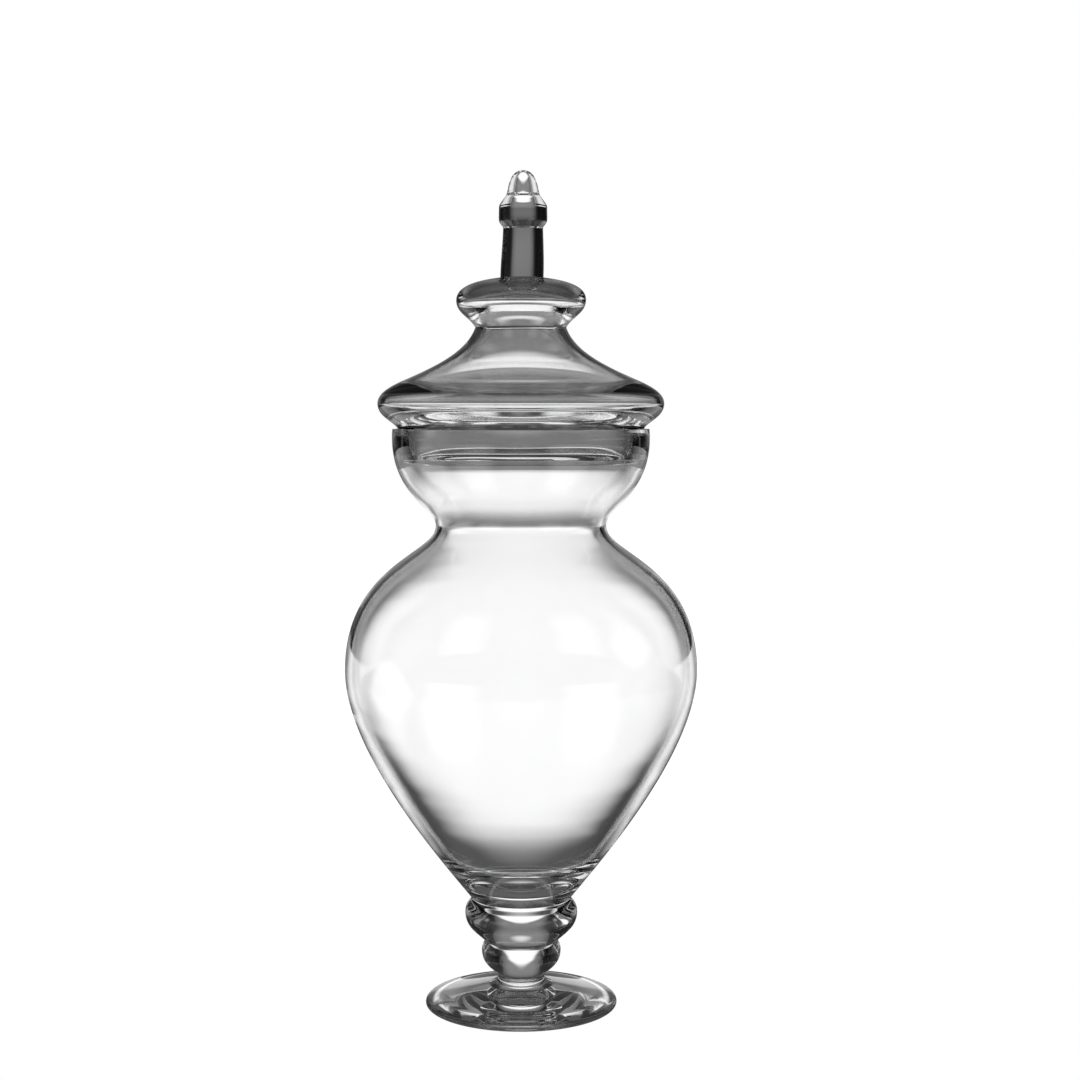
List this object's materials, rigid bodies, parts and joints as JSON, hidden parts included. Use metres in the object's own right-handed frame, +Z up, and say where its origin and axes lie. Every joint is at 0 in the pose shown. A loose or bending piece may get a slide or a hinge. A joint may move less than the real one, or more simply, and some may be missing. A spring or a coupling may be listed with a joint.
{
  "type": "apothecary jar",
  "caption": "Tall clear-glass apothecary jar: wide belly on a knopped pedestal with a round foot, and a loose hollow domed lid with a knob finial.",
  "frame": {"origin": "on the jar's axis, at the level of the surface that the foot rests on", "axes": "+Z up along the jar's axis of revolution; the object is round, so X and Y are any two horizontal directions"},
  "size_m": [0.1984, 0.1984, 0.4703],
  "materials": {
    "vessel_glass": "clear blown glass, fire polished",
    "stem_glass": "clear solid glass, fire polished",
    "foot_glass": "clear glass, fire polished",
    "lid_glass": "clear blown glass, fire polished",
    "finial_glass": "clear solid glass, fire polished"
  },
  "bodies": {
    "jar": {"foot": "foot_glass", "stem_neck": "stem_glass", "lower_knop": "stem_glass", "upper_knop": "stem_glass", "jar_body": "vessel_glass"},
    "lid": {"lid_collar": "lid_glass", "lid_dome": "lid_glass", "lid_bulb": "lid_glass", "finial_post": "finial_glass", "finial_ferrule": "finial_glass", "finial_tip": "finial_glass"}
  },
  "joints": [
    {"name": "lid_lift", "type": "slide", "parent": "jar", "child": "lid", "axis": [0, 0, 1], "range_m": [0, 0.08]}
  ]
}
